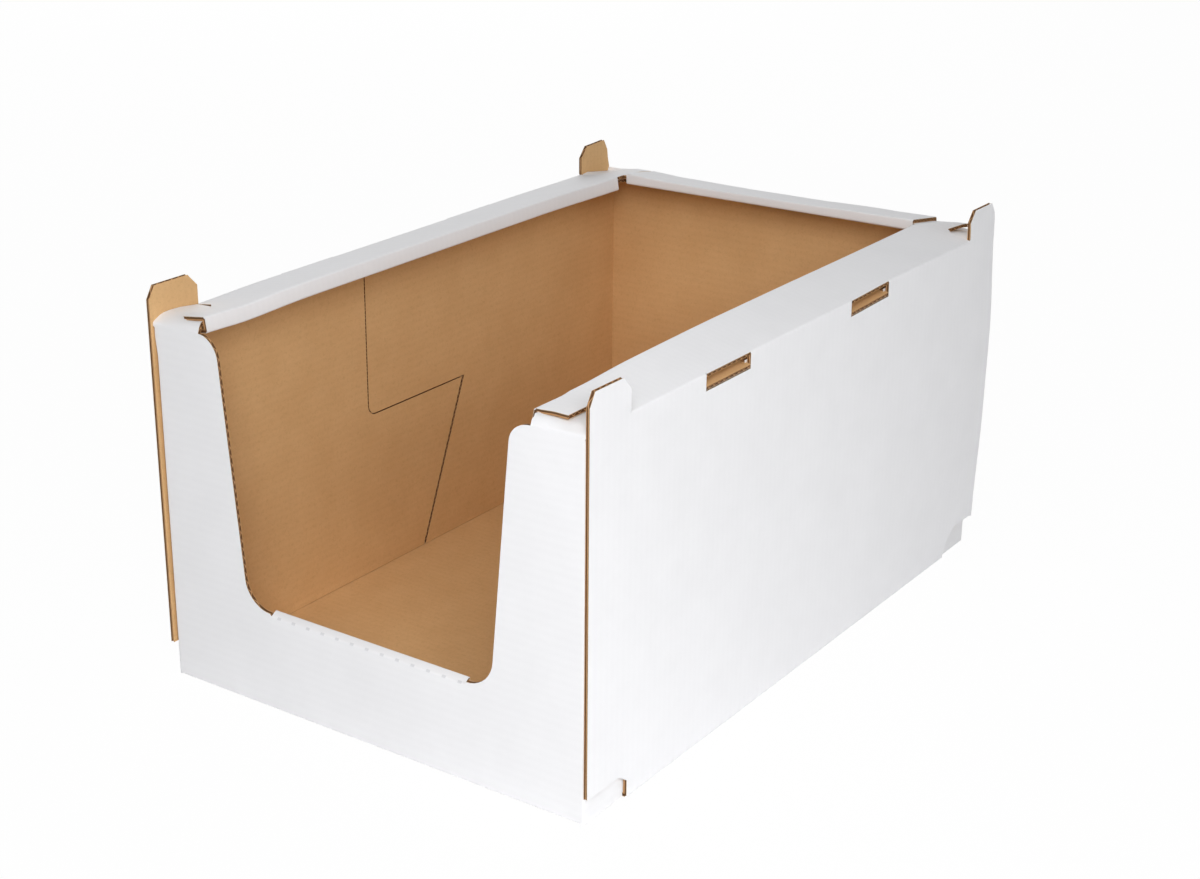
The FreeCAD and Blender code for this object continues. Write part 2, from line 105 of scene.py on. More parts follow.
def begin(name, low, high, face):
    """Add a plane that spans two corners in mm and shows its white face one way."""
    bpy.ops.object.select_all(action="DESELECT")
    middle = [(a + b) / 2 * MM for a, b in zip(low, high)]
    span = [(b - a) * MM for a, b in zip(low, high)]
    turn, size = {
        "down": ((math.pi, 0, 0), (span[0], span[1], 1)),
        "front": ((math.pi / 2, 0, 0), (span[0], span[2], 1)),
        "back": ((-math.pi / 2, 0, 0), (span[0], span[2], 1)),
        "right": ((0, math.pi / 2, 0), (span[2], span[1], 1)),
    }[face]
    bpy.ops.mesh.primitive_plane_add(size=1, location=middle, rotation=turn)
    sheet = bpy.context.object
    sheet.name = name
    sheet.scale = size
    bpy.ops.object.transform_apply(location=True, rotation=True, scale=True)
    bpy.ops.object.mode_set(mode="EDIT")
    return sheet


def pick(kind, test, along=None, border=False):
    """Select the parts of the open mesh whose middle, in mm, passes a test."""
    bpy.ops.mesh.select_mode(type=kind)
    bpy.ops.mesh.select_all(action="DESELECT")
    data = bpy.context.object.data
    mesh = bmesh.from_edit_mesh(data)
    if kind == "FACE":
        for face in mesh.faces:
            face.select_set(bool(test(*(face.calc_center_median() / MM))))
    elif kind == "EDGE":
        for edge in mesh.edges:
            first, last = (corner.co for corner in edge.verts)
            fits = bool(test(*((first + last) / 2 / MM))) and (edge.is_boundary or not border)
            if fits and along:
                fits = abs((last - first).normalized()["XYZ".index(along)]) > 0.99
            edge.select_set(fits)
    else:
        for corner in mesh.verts:
            corner.select_set(bool(test(*(corner.co / MM))))
    mesh.select_flush_mode()
    bmesh.update_edit_mesh(data)


def cut(axis, places):
    """Cut the open mesh right across, at places along X, Y or Z in mm."""
    direction = [float(axis == name) for name in "XYZ"]
    for place in places:
        bpy.ops.mesh.select_mode(type="FACE")
        bpy.ops.mesh.select_all(action="SELECT")
        bpy.ops.mesh.bisect(plane_co=[place * MM * d for d in direction], plane_no=direction)


def push(x=0, y=0, z=0):
    """Extrude what is selected by a distance in mm."""
    way = {"value": (x * MM, y * MM, z * MM)}
    bpy.ops.mesh.extrude_region_move(TRANSFORM_OT_translate=way)


def push_on(way, start, places):
    """Extrude what is selected along Y, in steps that end at the places."""
    for place in places:
        push(y=way * (place - start))
        start = place


def shift(x=0, y=0, z=0):
    bpy.ops.transform.translate(value=(x * MM, y * MM, z * MM))


def snip(test):
    """Delete the faces whose middle passes a test."""
    pick("FACE", test)
    bpy.ops.mesh.delete(type="FACE")


def patch(*corners):
    """Fill the face between corners that are there already."""
    places = [Vector(corner) for corner in corners]
    pick("VERT", lambda *here: any((Vector(here) - place).length < 0.1 for place in places))
    bpy.ops.mesh.edge_face_add()


def mark_flutes(rule, selected=False):
    """Note on each corner its place in mm across the flutes, for the board's pattern."""
    data = bpy.context.object.data
    mesh = bmesh.from_edit_mesh(data)
    layers = mesh.verts.layers.float
    layer = layers.get("flute_place") or layers.new("flute_place")
    for corner in mesh.verts:
        if corner.select or not selected:
            corner[layer] = rule(*(corner.co / MM)) * MM
    bmesh.update_edit_mesh(data)


class Strip:
    """The selected edge of the sheet, led on over flat runs and folds.

    Where it runs across the flutes, sheet_place is its place on the flat sheet in mm.
    """

    def __init__(self, at, heading, inside, sheet_place=None, onward=1):
        self.at = Vector(at)
        self.heading = Vector(heading).normalized()
        self.inside = Vector(inside).normalized()
        self.sheet_place = sheet_place
        self.onward = onward

    def mark(self, length):
        if self.sheet_place is not None:
            self.sheet_place += self.onward * length
            mark_flutes(lambda x, y, z: self.sheet_place, selected=True)

    def run(self, length, pieces=1):
        for _ in range(pieces):
            push(*(self.heading * length / pieces))
            self.mark(length / pieces)
        self.at += self.heading * length

    def fold(self, angle):
        turn = Matrix.Rotation(angle, 3, self.heading.cross(self.inside))
        self.heading = turn @ self.heading
        self.inside = turn @ self.inside


def near(value, place, within=0.06):
    return abs(value - place) < within


def in_slot(place, middles, half=SLOT_HALF):
    return any(abs(place - middle) < half for middle in middles)


def slot_cuts(middles):
    """Where a slot and its tongue begin and end."""
    steps = (-SLOT_HALF, -TONGUE_HALF, TONGUE_HALF, SLOT_HALF)
    return [middle + step for middle in middles for step in steps]


# Floor, cut across wherever a notch, slot, tab or panel ends.
sleeve = begin("sleeve", (0, -END, 0), (SIDE, END, 0), "down")
stations = slot_cuts(SLOTS) + [-103, -100.5, 106]
stations += [-294, -280, -270, -252.4, -NOTCH_END, -238, -222, -206, -190, -175, -145, -115, -85]
stations += [-70, -50, -32, -14, 4, 20, 35, 64, 94, 125, 142, 160, 178, 195, 211, 227, LIP_END]
stations += [NOTCH_END, 252.4, 270, 280, 294]
cut("Y", stations)
cut("X", COLUMNS)
snip(lambda x, y, z: x > NOTCH_FACE and abs(y) > NOTCH_END)

# Side wall, up to its top crease, with its corner notches cut across at the inner corner.
pick("EDGE", lambda x, y, z: near(x, SIDE), along="Y", border=True)
wall = Strip((SIDE, 0, 0), (1, 0, 0), (0, 0, 1))
wall.fold(math.pi / 2)
for row in ROWS + [CREASE]:
    wall.run(row - wall.at.z)
for way in (-1, 1):
    pick(
        "EDGE",
        lambda x, y, z: near(x, SIDE) and near(y, way * NOTCH_END) and z > NOTCH_TOP,
        along="Z",
        border=True,
    )
    push_on(way, NOTCH_END, (TAB_END, 262, 263, 276, 290, 292, 294, END))
    notch_corner = ((NOTCH_END, 14), (NOTCH_END, NOTCH_TOP), (TAB_END, NOTCH_TOP), (262, NOTCH_TOP))
    patch(*((SIDE, way * y, z) for y, z in notch_corner))

# Stacking tabs, which stand on in the plane of the wall.
pick("EDGE", lambda x, y, z: near(z, CREASE) and abs(y) > TAB_END, along="Y", border=True)
push(z=TAB_ROOT)
push(z=TAB_TOP - CHAMFER - CREASE - TAB_ROOT)
push(z=CHAMFER)
pick("VERT", lambda x, y, z: near(z, TAB_TOP) and not TAB_END + 0.1 < abs(y) < END - 0.1)
shift(z=-CHAMFER)

# Side rim: the flange, which runs on past the tabs as a strip with a slanted cut, then
# lip and return where it has them.
FLANGE_ROWS = (0, 8, 16.2, 21, 26.32, 31, 36, 42, RIM)


def flange_point(across, y):
    """Place on the side rim's flange, at a level distance from the wall."""
    return (SIDE - across, y, CREASE + across * math.tan(TILT))


pick(
    "EDGE",
    lambda x, y, z: near(z, CREASE) and near(x, SIDE) and abs(y) < TAB_END,
    along="Y",
    border=True,
)
wall.fold(math.pi / 2 - TILT)
for first, last in zip(FLANGE_ROWS, FLANGE_ROWS[1:]):
    wall.run(last - first)
flange_end = wall.at.copy()
for way, stops in ((-1, (258, 263, 276, 290, 292)), (1, (258, 263, 268, 276, 284, 290, 294))):
    pick(
        "EDGE",
        lambda x, y, z: near(y, way * TAB_END) and z > CREASE and x < SIDE - STRIP_EDGE,
        border=True,
    )
    push_on(way, TAB_END, stops)
    patch(
        flange_point(STRIP_CUT, way * TAB_END),
        flange_point(21 * math.cos(TILT), way * TAB_END),
        flange_point(STRIP_EDGE, way * TAB_END),
        flange_point(STRIP_EDGE, way * 258),
        flange_point(STRIP_EDGE, way * 263),
    )
pick(
    "EDGE",
    lambda x, y, z: near(x, flange_end.x) and near(z, flange_end.z) and y < LIP_END,
    along="Y",
    border=True,
)
wall.fold(math.pi / 2)
wall.run(LIP, 2)
wall.fold(math.pi / 2)
for piece in range(3):
    wall.run((SIDE - RETURN_END - wall.at.x) / math.cos(TILT) / (3 - piece))
return_end = wall.at.copy()


def at_tongues(x, y, z):
    at_end = near(x, return_end.x) and near(z, return_end.z)
    return at_end and in_slot(y, SLOTS, TONGUE_HALF)


pick("EDGE", at_tongues, along="Y", border=True)
wall.run((SIDE - TONGUE_SHORT - wall.at.x) / math.cos(TILT))

# Slots under the crease, where the flange's cut edge shows above the tongue.
snip(lambda x, y, z: near(x, SIDE) and SLOT_FOOT < z < CREASE and in_slot(y, SLOTS))
mark_flutes(lambda x, y, z: y)
bpy.ops.object.mode_set(mode="OBJECT")


# Front frame: front wall with its mouth, the flaps over the posts, the rolled sill with its
# inner panel and lock tabs, and the front inner flaps. All of it is folded from the same
# sheet as the sleeve, so it is cut to the same columns and rows.
FLAP_FACE = SIDE - BOARD - GAP
FLAP_TOP = CREASE - 2 * BOARD - 2 * GAP
POST_TOP = CREASE - BOARD
SILL = 80
SILL_HALF = 92
SILL_ROLL = 1.5
MOUTH_FOOT = 115
MOUTH_TOP = 134
FOOT_RADIUS = 24
TOP_RADIUS = 18
PANEL_FACE = -END + 2 * BOARD + GAP
PANEL_HALF = 107
LOCK_TAB = (40, 80)
LEDGE = 146.5
SEAM_TOP = -70
SEAM_TIP = 57.8
SEAM_FOOT = -0.8
TONGUE_GAP = (-160, -103)


def lay_flat():
    """Make the open flat panel one face again, without spare corners."""
    bpy.ops.mesh.select_mode(type="VERT")
    bpy.ops.mesh.select_all(action="SELECT")
    bpy.ops.mesh.dissolve_limited(angle_limit=math.radians(0.5))


def round_off(place, radius, opening=math.pi / 2):
    """Round the corner of a panel at one place."""
    pick("VERT", lambda *here: (Vector(here) - Vector(place)).length < 0.1)
    reach = radius / math.tan(opening / 2)
    bpy.ops.mesh.bevel(offset=reach * MM, segments=9, affect="VERTICES")


front = begin("front_frame", (0, -END, 0), (FLAP_FACE, -END, SILL), "front")
cut("X", [MOUTH_FOOT])
pick("EDGE", lambda x, y, z: near(z, SILL) and x > MOUTH_FOOT, along="X")
push(z=POST_TOP - SILL)
pick("VERT", lambda x, y, z: near(x, MOUTH_FOOT) and near(z, POST_TOP))
shift(x=MOUTH_TOP - MOUTH_FOOT)
lay_flat()
lean = math.atan2(MOUTH_TOP - MOUTH_FOOT, POST_TOP - SILL)
round_off((MOUTH_FOOT, -END, SILL), FOOT_RADIUS, math.pi / 2 + lean)
round_off((MOUTH_TOP, -END, POST_TOP), TOP_RADIUS, math.pi / 2 + lean)
cut("Z", ROWS + [FLAP_TOP])
cut("X", COLUMNS)
mark_flutes(lambda x, y, z: -END - z)

# Rolled sill, with the panel that hangs from it and its lock tab through the floor.
pick("EDGE", lambda x, y, z: near(z, SILL) and x < SILL_HALF, along="X", border=True)
sill = Strip((0, -END, SILL), (0, 0, 1), (0, 1, 0), -END - SILL, -1)
sill.fold(math.pi / 2)
sill.run(PANEL_FACE + END)
sill.fold(math.pi / 2)
for row in (SILL - SILL_ROLL, 64, 44, NOTCH_TOP, 14, FOOT):
    sill.run(sill.at.z - row)


def on_panel(y, z, low, high):
    return near(y, PANEL_FACE) and low < z < high


pick(
    "EDGE",
    lambda x, y, z: near(x, SILL_HALF) and on_panel(y, z, 0, SILL - SILL_ROLL),
    along="Z",
    border=True,
)
push(x=PANEL_HALF - SILL_HALF)
pick(
    "EDGE",
    lambda x, y, z: on_panel(y, z, FOOT - 0.1, FOOT + 0.1) and LOCK_TAB[0] < x < LOCK_TAB[1],
    along="X",
    border=True,
)
push(z=-BOARD)


# Corner flap, bent up over the post to lie under the side rim's flange.
def flap_rise(across, back, way):
    """Height of a corner flap over its wall's top, at a distance from the side and the wall.

    It bends up over the wall's edge, most along its inner side, sinks a little further on
    and stays under the side flange. A rear one (way 1) also stays under the back rim.
    """
    inner = 6.6 * math.sin(math.pi / 2 * min(back / 8, 1)) ** 0.8
    outer = 5.4 * math.sin(math.pi / 2 * min(back / 16, 1)) - 1.8 * max(back - 28, 0) / 20
    share = (across - 3.4) / 41.1
    rise = outer + (inner - outer) * share
    under = -0.44 + across * math.tan(TILT)
    if back > 47:
        rise = under
    elif across > STRIP_EDGE:
        rise += (min(rise, under) - rise) * min((across - STRIP_EDGE) / 6, 1)
    if way > 0:
        rise = min(rise, max(back * math.tan(TILT) - 1.5, -0.8 * min(back / 2, 1)))
    return rise


def corner_flap(way):
    """Lead the selected top edge of a wall on into its corner flap."""
    before = 0
    for back in (2.4, 4, 6, 8, 12, 18, 28, 38, 45, 48.5, 55):
        push(y=-way * (back - before))
        before = back
        mesh = bmesh.from_edit_mesh(bpy.context.object.data)
        for corner in mesh.verts:
            if corner.select:
                across = SIDE - corner.co.x / MM
                corner.co.z = (POST_TOP + flap_rise(across, back, way)) * MM
                if across > 43:
                    corner.co.x = (153.5 - 3.1 * max(1 - back / 8, 0)) * MM
        bmesh.update_edit_mesh(bpy.context.object.data)
        mark_flutes(lambda x, y, z: way * (END + POST_TOP + back), selected=True)


def at_flap(x, y, z):
    return near(z, POST_TOP) and x > FLAP_EDGE


pick("EDGE", at_flap, along="X", border=True)
corner_flap(-1)
bpy.ops.object.mode_set(mode="OBJECT")

# Inner flap, cut as a panel with its half of the stepped side seam.
front_flap = begin("front_flap", (FLAP_FACE, -END, FOOT), (FLAP_FACE, SEAM_TOP, LEDGE), "right")
pick("EDGE", lambda x, y, z: near(z, LEDGE), along="Y")
push(z=FLAP_TOP - LEDGE)
pick("EDGE", lambda x, y, z: near(y, SEAM_TOP) and z < LEDGE, along="Z")
push(y=SEAM_TIP - SEAM_TOP)
pick("VERT", lambda x, y, z: near(y, SEAM_TIP) and near(z, FOOT))
shift(y=SEAM_FOOT - SEAM_TIP)
lay_flat()
round_off((FLAP_FACE, SEAM_TOP, LEDGE), 10)
cut("Z", ROWS)
cut("Y", [-280, -252.4, -222, -190, -160, -145, -130, -115, -103, -85, -60, -40, -20, 0, 20, 40])
snip(lambda x, y, z: TONGUE_GAP[0] < y < TONGUE_GAP[1] and z > SLOT_FOOT)
pick("EDGE", lambda x, y, z: near(z, FOOT) and y < -NOTCH_END, along="Y")
push(z=-FOOT)
mark_flutes(lambda x, y, z: -END - z)
bpy.ops.object.mode_set(mode="OBJECT")


# Rear frame: the back wall with its box rim and its corner flaps, and the rear inner flaps.
# It is the same sheet again. The back rim's lip leans back under its flange, and its return
# drops towards the wall, as on this tray.
BACK_SLOTS = (75,)
BACK_LIP = 9
BACK_LEAN = math.radians(12)
BACK_DROP = math.radians(15)
REAR_LEDGE = LEDGE + 1.2
REAR_SEAM_TOP = -68.6
REAR_SEAM_TIP = 61.5
REAR_SEAM_FOOT = 2
REAR_TONGUE_GAP = (49, 106)

rear = begin("rear_frame", (0, END, 0), (FLAP_FACE, END, CREASE), "back")
cut("Z", ROWS + [FLAP_TOP, POST_TOP])
cut("X", COLUMNS)
snip(lambda x, y, z: x > RIM_HALF and z > POST_TOP)
mark_flutes(lambda x, y, z: END + z)
pick("EDGE", at_flap, along="X", border=True)
corner_flap(1)

# Box rim of the back wall.
pick("EDGE", lambda x, y, z: near(z, CREASE) and x < RIM_HALF, along="X", border=True)
back = Strip((0, END, CREASE), (0, 0, 1), (0, -1, 0), END + CREASE)
back.fold(math.pi / 2 - TILT)
back.run(RIM, 6)
back.fold(math.pi / 2 + BACK_LEAN)
back.run(BACK_LIP, 2)
back.fold(math.pi / 2 - BACK_LEAN - BACK_DROP + TILT)
back.run((END - RETURN_END - back.at.y) / math.cos(BACK_DROP), 3)


def at_back_tongue(x, y, z):
    return near(y, back.at.y) and near(z, back.at.z) and in_slot(x, BACK_SLOTS, TONGUE_HALF)


pick("EDGE", at_back_tongue, along="X", border=True)
back.run((END - TONGUE_SHORT - back.at.y) / math.cos(BACK_DROP))
snip(lambda x, y, z: near(y, END) and SLOT_FOOT < z < CREASE and in_slot(x, BACK_SLOTS))
bpy.ops.object.mode_set(mode="OBJECT")

# Rear inner flap, with the other half of the seam.
flap_corners = (FLAP_FACE, REAR_SEAM_TIP, FOOT), (FLAP_FACE, END, REAR_LEDGE)
rear_flap = begin("rear_flap", *flap_corners, "right")
pick("EDGE", lambda x, y, z: near(z, REAR_LEDGE), along="Y")
push(z=FLAP_TOP - REAR_LEDGE)
pick("EDGE", lambda x, y, z: near(y, REAR_SEAM_TIP) and z > REAR_LEDGE, along="Z")
push(y=REAR_SEAM_TOP - REAR_SEAM_TIP)
pick("VERT", lambda x, y, z: near(y, REAR_SEAM_TIP) and near(z, FOOT))
shift(y=REAR_SEAM_FOOT - REAR_SEAM_TIP)
lay_flat()
round_off((FLAP_FACE, REAR_SEAM_TOP, REAR_LEDGE), 8)
cut("Z", ROWS)
rear_stations = [-50, -30, -10, 10, 30, 49, 64, 79, 94, 106, 125, 142, 160, 178, 195, 211, 227]
cut("Y", rear_stations + [252.4, 280])
snip(lambda x, y, z: REAR_TONGUE_GAP[0] < y < REAR_TONGUE_GAP[1] and z > SLOT_FOOT)
pick("EDGE", lambda x, y, z: near(z, FOOT) and y > NOTCH_END, along="Y")
push(z=-FOOT)
mark_flutes(lambda x, y, z: END + z)
bpy.ops.object.mode_set(mode="OBJECT")


# The board: corrugated, white outside and brown kraft inside, cut by a die. The halves and
# frames are joined where the sheet runs on, settle as a folded tray does, and get the
# board's thickness inward, with a groove along every cut edge between the two liners.
bpy.ops.object.select_all(action="DESELECT")
for part in (front, front_flap, rear, rear_flap, sleeve):
    part.select_set(True)
bpy.context.view_layer.objects.active = sleeve
bpy.ops.object.join()
tray = sleeve
tray.name = "tray_sheet"
bpy.ops.object.mode_set(mode="EDIT")
bpy.ops.mesh.select_all(action="SELECT")
bpy.ops.mesh.remove_doubles(threshold=0.06 * MM)
bpy.ops.object.mode_set(mode="OBJECT")
left = tray.modifiers.new("left_half", "MIRROR")
left.merge_threshold = 0.05 * MM
bpy.ops.object.modifier_apply(modifier=left.name)
bpy.ops.object.mode_set(mode="EDIT")
bpy.ops.mesh.select_all(action="SELECT")
bpy.ops.mesh.normals_make_consistent(inside=False)
faces = bmesh.from_edit_mesh(tray.data).faces
floor_face = min(faces, key=lambda face: face.calc_center_median().length)
if floor_face.normal.z > 0:
    bpy.ops.mesh.flip_normals()
bpy.ops.object.mode_set(mode="OBJECT")

# A folded tray is never quite square. By height, this is how far in mm the right wall
# stands out at its rear and what share of its own bulge the left wall has, and from left to
# right how far the back rim is raised.
RIGHT_BULGE = ((0, 0), (25, 4), (138, 7), (203, 7.6), (CREASE, 4.2), (320, 3))
LEFT_BULGE = ((0, 0), (26, 0.9), (CREASE, 1), (320, 1))
BACK_RIM_RISE = ((-150, 2.8), (-110, 1.4), (-60, 1.2), (20, 2.1), (100, 4), (150, 5))


def step(value, start, stop):
    """Smooth share of the way from start to stop."""
    share = min(max((value - start) / (stop - start), 0), 1)
    return share * share * (3 - 2 * share)


def along_points(value, points):
    """Smooth line through points, as pairs of a place and a size."""
    for (first, low), (last, high) in zip(points, points[1:]):
        if value <= last:
            return low + (high - low) * step(value, first, last)
    return points[-1][1]


for corner in tray.data.vertices:
    x, y, z = corner.co / MM
    side = math.copysign(1, x)
    on_right = side > 0
    x = abs(x)
    out = forth = rise = 0
    beside_back_rim = x < RIM_HALF + 0.1
    in_rim = z > CREASE - LIP - 12 and x > 140 and not (beside_back_rim and y > 250)
    in_back_rim = beside_back_rim and y > 240 and z > 262
    outer_wall = near(x, SIDE)
    on_flange = near(z, CREASE + (SIDE - x) * math.tan(TILT)) and not outer_wall
    across_rim = min((SIDE - x) / RIM, 1)
    rim_side = step(x, 118, 150)

    # Side walls, which stand out where they are free.
    if outer_wall or in_rim:
        if on_right:
            out = step(y, -60, END) * along_points(z, RIGHT_BULGE)
        else:
            out = 4.2 * step(y, 40, 290) + 1.7 * step(y, -120, -290)
            out *= along_points(z, LEFT_BULGE)
    if not outer_wall:
        out *= step(x, 150, SIDE - 4)
    elif not on_right and y > 262:
        out += 2.8 * step(y, 262, END) * step(z, 285, 307)

    # Their front edges, which stand a little forward, and the edges over the corner notches.
    if outer_wall:
        forth = -step(y, -NOTCH_END, -END) * step(z, 0, NOTCH_TOP) * (0.6 if on_right else 2.2)
        if near(z, NOTCH_TOP) and y < -260:
            rise = -3 * side
        if near(z, NOTCH_TOP) and y > 260 and on_right:
            rise = 3.5 if y < 299 else 2

    # Right rim, raised at its rear and along its inner edge and pressed down at its front.
    if on_right and not in_back_rim:
        rear_lift = 2.6 * step(y, 20, 130) * (1 - 0.7 * step(z, 296, TAB_TOP) * outer_wall)
        inner_lift = 3 * across_rim * step(y, -255, -190) * (1 - step(y, 20, 130))
        rise += (rear_lift + inner_lift) * rim_side * step(z, 240, 282)
    if on_right:
        rise -= 3 * across_rim ** 2 * rim_side * step(z, 230, 280) * step(y, -60, -292)

    # Left rim, raised along its middle and, inside the wall, at its front end.
    if not on_right and not in_back_rim:
        along_middle = step(y, -270, -180) * (1 - 0.8 * step(y, 120, 250))
        rise += 2.2 * rim_side * step(z, 240, 282) * along_middle
    if not on_right and not outer_wall:
        rise += 1.6 * rim_side * step(z, 230, 280) * step(y, -END + 60, -END + 8)

    # Corner flaps, which are not quite square to the posts and ears that they are bent from.
    if not on_right and near(x, FLAP_FACE) and y < -END + 10 and z > POST_TOP - 0.1:
        out += 1.9
    if on_right and x < 170 and z > POST_TOP - 12 and y > -295:
        out -= 3 * step(y, -190, -285) * step(x, 120, 150)
    if on_right and 150.5 < x < 153 and y < -295.5 and z > POST_TOP + 0.3:
        out -= 1.4
    if on_right and near(x, 178) and y < -250 and z > POST_TOP + 0.3:
        rise -= 2
    if not on_right and near(y, END) and x > 150 and near(z, POST_TOP):
        rise += 3
        out += 3 * (x > 194)

    # The flange's strips past the tabs: the right front one is twisted, and the rear ones
    # are bent down beside the ends of the back rim.
    if on_right and on_flange and y < -253.5:
        past_tab = step(y, -TAB_END, -262)
        out += 3 * past_tab * (x > 168)
        rise += (2.2 * step(x, 150, 172) - 1.2) * past_tab
    if in_rim and on_flange and y > 244:
        under_rim = (291 if on_right else 294.6) + 0.16 * (294 - y) + 0.13 * (x - 150)
        rise += min(0, under_rim - z)
        if not on_right:
            rise -= 3 * min(max((x - 150) / 22, 0), 1) * step(y, 255, 294)
        if near(x, flange_end.x) and y > NOTCH_END:
            out -= 3
        if x > 168 and y > 255:
            out += 2 * step(y, 255, 263) + 4.6 * max(y - 263, 0) / 31

    # Back rim, raised most at its ends, and the rolled sill, which leans to the front.
    if in_back_rim and z > CREASE - 0.5:
        rise += along_points(side * x, BACK_RIM_RISE)
    elif in_back_rim:
        rise += (1.2 + 3.1 * (side * x + 150) / 300) * step(z, 262, 288)
    if near(z, SILL) and x < SILL_HALF + 0.1 and y < PANEL_FACE + 0.1:
        rise += -2 if near(y, -END) else 1.8
    corner.co = Vector((side * (x + out), y + forth, z + rise)) * MM

kraft_side = tray.vertex_groups.new(name="kraft_side")
kraft_side.add(range(len(tray.data.vertices)), 0, "REPLACE")


def new_group(name, inputs, outputs):
    """Node group with number sockets, and its two end nodes."""
    group = bpy.data.node_groups.new(name, "ShaderNodeTree")
    for label, default in inputs:
        socket = group.interface.new_socket(label, in_out="INPUT", socket_type="NodeSocketFloat")
        socket.default_value = default
    for label in outputs:
        group.interface.new_socket(label, in_out="OUTPUT", socket_type="NodeSocketFloat")
    return group, group.nodes.new("NodeGroupInput"), group.nodes.new("NodeGroupOutput")


def node(tree, kind, inputs=None, **values):
    """Add a node; inputs are numbers, or the sockets that they are linked from."""
    item = tree.nodes.new("ShaderNode" + kind)
    for name, value in values.items():
        setattr(item, name, value)
    for name, value in (inputs or {}).items():
        if isinstance(value, bpy.types.NodeSocket):
            tree.links.new(value, item.inputs[name])
        else:
            item.inputs[name].default_value = value
    return item


def math_node(tree, operation, *inputs):
    return node(tree, "Math", dict(enumerate(inputs)), operation=operation).outputs[0]


def blend(tree, amount, first, second):
    """Mix two colours by an amount."""
    item = node(tree, "Mix", {"Factor": amount, 6: first, 7: second}, data_type="RGBA")
    return item.outputs[2]


def ramp(tree, value, *stops):
    """Map a value from between the first two stops to between the last two."""
    return node(tree, "MapRange", dict(enumerate((value, *stops)))).outputs[0]


def srgb(*levels):
    """Colour from its red, green and blue as a screen shows them, 0 to 255."""
    shares = [level / 255 for level in levels]
    return tuple(((share + 0.055) / 1.055) ** 2.4 for share in shares) + (1,)


# Paper: clouds of uneven tone, short fibres that lie along one way, and fine tooth. A
# higher grain makes all of them smaller.
paper, paper_in, paper_out = new_group("paper", [("Grain", 1.0)], ["Clouds", "Fibres", "Tooth"])
spot = node(
    paper,
    "VectorMath",
    {0: node(paper, "TexCoord").outputs["Object"], "Scale": paper_in.outputs["Grain"]},
    operation="SCALE",
).outputs[0]
clouds = {"Vector": spot, "Scale": 28.0, "Detail": 4.0, "Roughness": 0.6}
drawn = node(paper, "Mapping", {"Vector": spot, "Scale": (520.0, 430.0, 520.0)}).outputs[0]
fibres = {"Vector": drawn, "Scale": 1.0, "Detail": 3.0, "Distortion": 0.8}
tooth = {"Vector": spot, "Scale": 1400.0, "Detail": 2.0}
for label, noise in (("Clouds", clouds), ("Fibres", fibres), ("Tooth", tooth)):
    texture = node(paper, "TexNoise", noise)
    paper.links.new(texture.outputs["Fac"], paper_out.inputs[label])

# Fluting that shows through a liner as faint lines, one for each flute.
FLUTE = 0.3 / 45


def flute_wave(tree):
    """Sine of the place across the flutes, one turn for each."""
    place = node(tree, "Attribute", attribute_name="flute_place").outputs["Fac"]
    return math_node(tree, "SINE", math_node(tree, "MULTIPLY", place, 2 * math.pi / FLUTE))


washboard, board_in, board_out = new_group("washboard", [("Strength", 1.0)], ["Wave"])
lines = math_node(washboard, "MULTIPLY_ADD", flute_wave(washboard), 0.5, 0.5)
lines = math_node(washboard, "MULTIPLY", lines, board_in.outputs["Strength"])
washboard.links.new(lines, board_out.inputs["Wave"])


def new_finish(name, roughness, specular):
    finish = bpy.data.materials.new(name)
    finish.use_nodes = True
    tree = finish.node_tree
    tree.nodes.clear()
    shader = node(tree, "BsdfPrincipled", {"Roughness": roughness, "Specular IOR Level": specular})
    node(tree, "OutputMaterial", {0: shader.outputs[0]})
    return finish, tree, shader


def use_group(tree, group, **values):
    item = tree.nodes.new("ShaderNodeGroup")
    item.node_tree = group
    for name, value in values.items():
        item.inputs[name].default_value = value
    return item.outputs


def paint(tree, shader, colour, height, strength, distance):
    """Give a finish its colour and its small relief."""
    tree.links.new(colour, shader.inputs["Base Color"])
    bump = {"Height": height, "Strength": strength, "Distance": distance}
    tree.links.new(node(tree, "Bump", bump).outputs[0], shader.inputs["Normal"])


def relief(tree, flutes, flute_share, fibre, tooth_share):
    """Height of the flutes' lines and the paper's tooth."""
    lines = math_node(tree, "MULTIPLY", flutes["Wave"], flute_share)
    return math_node(tree, "ADD", lines, math_node(tree, "MULTIPLY", fibre["Tooth"], tooth_share))


# White outer liner: bleached, uncoated, a little uneven, with a row of small dents along
# the front of the sill, where its crease was pressed in; the dents are dents in relief and also
# painted shade in colour.
DENT_PITCH = 0.0143
DENT_SHIFT = 0.0845
DENT_HEIGHT = 0.0780
DENT_REACH = 0.089
white, tree, shader = new_finish("white_liner", 0.7, 0.3)
fibre = use_group(tree, paper, Grain=1.0)
flutes = use_group(tree, washboard, Strength=1.0)
tone = ramp(tree, fibre["Clouds"], 0.3, 0.7, 0.0, 1.0)
colour = blend(tree, tone, srgb(240, 240, 242), srgb(243, 243, 245))
lines = ramp(tree, flutes["Wave"], 0.0, 1.0, 0.0, 0.04)
colour = blend(tree, lines, colour, srgb(214, 214, 216))
spot = node(tree, "SeparateXYZ", {0: node(tree, "TexCoord").outputs["Object"]}).outputs
along = math_node(tree, "ADD", spot[0], DENT_SHIFT)
along = math_node(tree, "MULTIPLY", along, 1 / DENT_PITCH)
off_dent = math_node(tree, "SUBTRACT", along, math_node(tree, "ROUND", along))
dents_and_their_shade = ramp(tree, math_node(tree, "ABSOLUTE", off_dent), 0.10, 0.14, 1.0, 0.0)
off_line = math_node(tree, "ABSOLUTE", math_node(tree, "SUBTRACT", spot[2], DENT_HEIGHT))
on_line = ramp(tree, off_line, 0.0006, 0.0010, 1.0, 0.0)
on_front = math_node(tree, "LESS_THAN", spot[1], -0.296)
